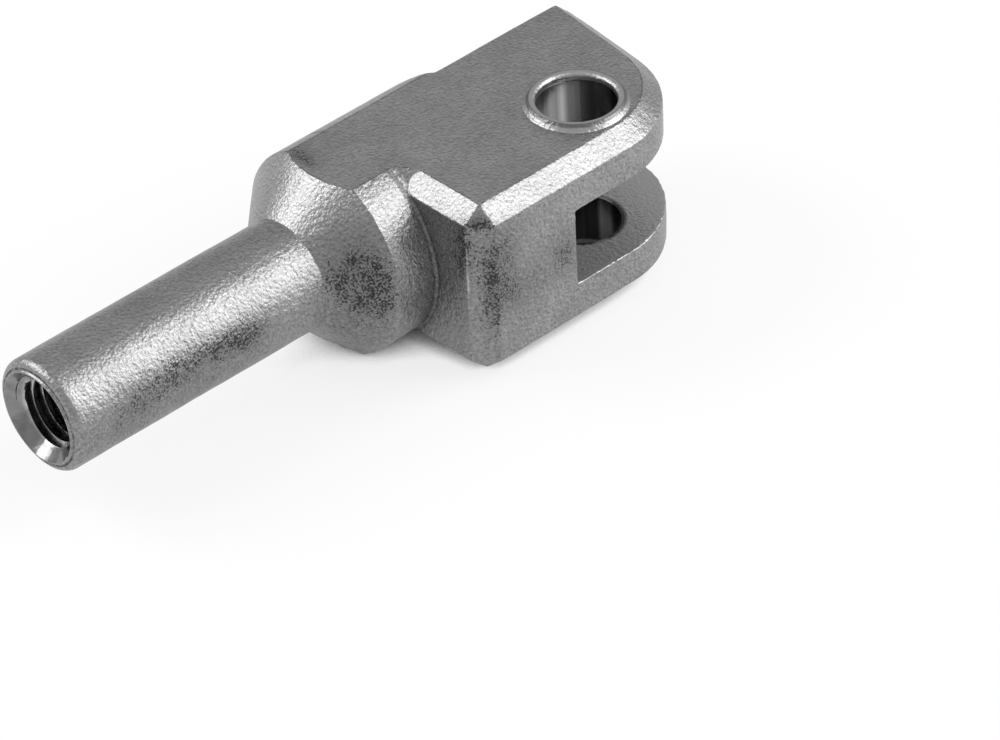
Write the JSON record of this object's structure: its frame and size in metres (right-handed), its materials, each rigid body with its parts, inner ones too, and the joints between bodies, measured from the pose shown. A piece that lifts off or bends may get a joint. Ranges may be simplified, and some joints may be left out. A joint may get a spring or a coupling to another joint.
{
  "type": "clevis rod end",
  "caption": "One-piece steel clevis rod end: a bevelled fork block with a slot and a pin bore, set off to one side of a round shank with an internally threaded end.",
  "frame": {"origin": "middle of the pin bore, halfway between the fork's two flats", "axes": "+X along the shank towards the nose of the fork, +Y towards the closed side of the fork, +Z along the pin bore, at right angles to the flats"},
  "size_m": [0.1093, 0.0418, 0.031],
  "materials": {
    "blasted_steel": "bare steel, blasted to a fine satin grain, with the bore and slot machined"
  },
  "bodies": {
    "root": {"clevis_rod_end": "blasted_steel"}
  },
  "joints": []
}
